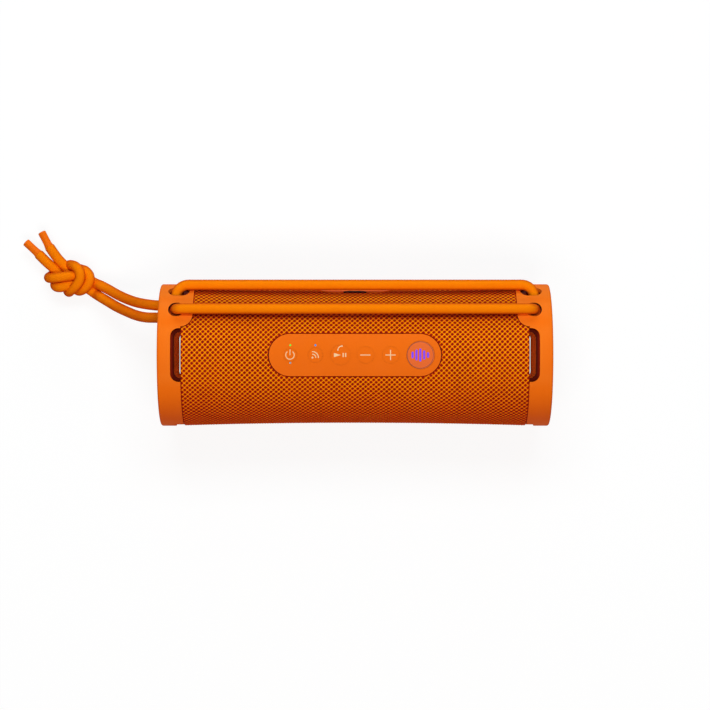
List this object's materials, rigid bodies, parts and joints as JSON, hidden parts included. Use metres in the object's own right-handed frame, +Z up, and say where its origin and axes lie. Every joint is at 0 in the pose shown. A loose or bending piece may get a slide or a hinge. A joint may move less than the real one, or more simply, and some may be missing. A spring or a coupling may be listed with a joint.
{
  "type": "portable bluetooth speaker",
  "caption": "Cylindrical knit-covered portable speaker on its side, with ring end caps, top key panel and a braided carry cord tied in a knot",
  "frame": {"origin": "centre of the flat underside of the rubber base foot, on the resting plane", "axes": "+X along the body towards the right end cap, +Z up through the control panel, -Y the way the drivers face"},
  "size_m": [0.2836, 0.1055, 0.0762],
  "materials": {
    "knit": "open diamond knit, orange over dark maroon",
    "grille_plastic": "dark maroon, satin",
    "dark_plastic": "fine moulded texture",
    "dark_rubber": "matte",
    "inner_orange": "satin moulded",
    "cap_orange": "soft-touch matte orange",
    "panel_orange": "soft-touch matte orange",
    "radiator_skin": "satin",
    "light_pipe": "translucent",
    "board_green": "solder mask",
    "bright_metal": "bright",
    "cone_paper": "woven fibre",
    "spider_cloth": "resin-treated cloth",
    "coil_copper": "wound wire",
    "magnet_steel": "zinc plated",
    "screw_steel": "plated",
    "dome_silver": "satin",
    "chip_black": "moulded",
    "cell_wrap": "shrink film",
    "lead_red": "insulated wire",
    "flex_amber": "flexible circuit",
    "foot_rubber": "matte",
    "cord": "braided round cord",
    "cord_tip": "smooth satin"
  },
  "bodies": {
    "body": {"grille_fabric": "knit", "grille_frame": "grille_plastic", "enclosure_front": "dark_plastic", "enclosure_rear": "dark_plastic", "enclosure_gasket": "dark_rubber", "enclosure_screws": "screw_steel", "end_frame_left": "inner_orange", "end_frame_right": "inner_orange", "end_bumper_left": "cap_orange", "end_bumper_right": "cap_orange", "end_screws": "screw_steel", "radiator_frame_left": "dark_plastic", "radiator_frame_right": "dark_plastic", "radiator_surround_left": "dark_rubber", "radiator_surround_right": "dark_rubber", "control_panel": "panel_orange", "panel_gasket": "dark_rubber", "light_pipes": "light_pipe", "key_board": "board_green", "key_switches": "bright_metal", "microphone": "bright_metal", "woofer_basket": "dark_plastic", "woofer_surround": "dark_rubber", "woofer_spider": "spider_cloth", "woofer_magnet": "magnet_steel", "woofer_gasket": "dark_rubber", "woofer_screws": "screw_steel", "tweeter_frame": "dark_plastic", "tweeter_magnet": "magnet_steel", "tweeter_screws": "screw_steel", "main_board": "board_green", "board_chips": "chip_black", "usb_port": "bright_metal", "board_screws": "screw_steel", "battery_cells": "cell_wrap", "battery_holder": "dark_plastic", "battery_lead": "lead_red", "speaker_leads": "lead_red", "key_cable": "flex_amber", "port_bezel": "panel_orange", "port_gasket": "dark_rubber", "base_foot": "foot_rubber", "strap_cord": "cord"},
    "radiator_left": {"radiator_plate_left": "radiator_skin"},
    "radiator_right": {"radiator_plate_right": "radiator_skin"},
    "key_power": {"key_power": "panel_orange"},
    "key_pairing": {"key_pairing": "panel_orange"},
    "key_play": {"key_play": "panel_orange"},
    "key_minus": {"key_minus": "panel_orange"},
    "key_plus": {"key_plus": "panel_orange"},
    "key_sound": {"key_sound": "panel_orange"},
    "woofer": {"woofer_cone": "cone_paper", "woofer_dust_cap": "radiator_skin", "voice_coil": "coil_copper"},
    "tweeter": {"tweeter_dome": "dome_silver"},
    "port_flap": {"port_cover": "cap_orange"},
    "cord_tail": {"strap_tail": "cord", "cord_tips": "cord_tip"}
  },
  "joints": [
    {"name": "key_power_press", "type": "slide", "parent": "body", "child": "key_power", "axis": [0, 0, -1], "range_m": [0, 0.0005], "stiffness_N_per_m": 2000},
    {"name": "key_pairing_press", "type": "slide", "parent": "body", "child": "key_pairing", "axis": [0, 0, -1], "range_m": [0, 0.0005], "stiffness_N_per_m": 2000},
    {"name": "key_play_press", "type": "slide", "parent": "body", "child": "key_play", "axis": [0, 0, -1], "range_m": [0, 0.0005], "stiffness_N_per_m": 2000},
    {"name": "key_minus_press", "type": "slide", "parent": "body", "child": "key_minus", "axis": [0, 0, -1], "range_m": [0, 0.0005], "stiffness_N_per_m": 2000},
    {"name": "key_plus_press", "type": "slide", "parent": "body", "child": "key_plus", "axis": [0, 0, -1], "range_m": [0, 0.0005], "stiffness_N_per_m": 2000},
    {"name": "key_sound_press", "type": "slide", "parent": "body", "child": "key_sound", "axis": [0, 0, -1], "range_m": [0, 0.0005], "stiffness_N_per_m": 2000},
    {"name": "radiator_left_move", "type": "slide", "parent": "body", "child": "radiator_left", "axis": [-1, 0, 0], "range_m": [-0.002, 0.002], "stiffness_N_per_m": 900},
    {"name": "radiator_right_move", "type": "slide", "parent": "body", "child": "radiator_right", "axis": [1, 0, 0], "range_m": [-0.002, 0.002], "stiffness_N_per_m": 900},
    {"name": "woofer_move", "type": "slide", "parent": "body", "child": "woofer", "axis": [0, -1, 0], "range_m": [-0.0025, 0.0025], "stiffness_N_per_m": 1200},
    {"name": "tweeter_move", "type": "slide", "parent": "body", "child": "tweeter", "axis": [0, -1, 0], "range_m": [-0.0003, 0.0003], "stiffness_N_per_m": 3000},
    {"name": "port_flap_hinge", "type": "hinge", "parent": "body", "child": "port_flap", "pos_m": [0, 0.035, 0.03321], "axis": [-1, 0, 0], "range_deg": [0, 90]},
    {"name": "cord_tail_swing", "type": "hinge", "parent": "body", "child": "cord_tail", "pos_m": [-0.1012, 0.0235, 0.0455], "axis": [0, 0, 1], "range_deg": [-25, 25], "stiffness_Nm_per_rad": 0.01}
  ]
}
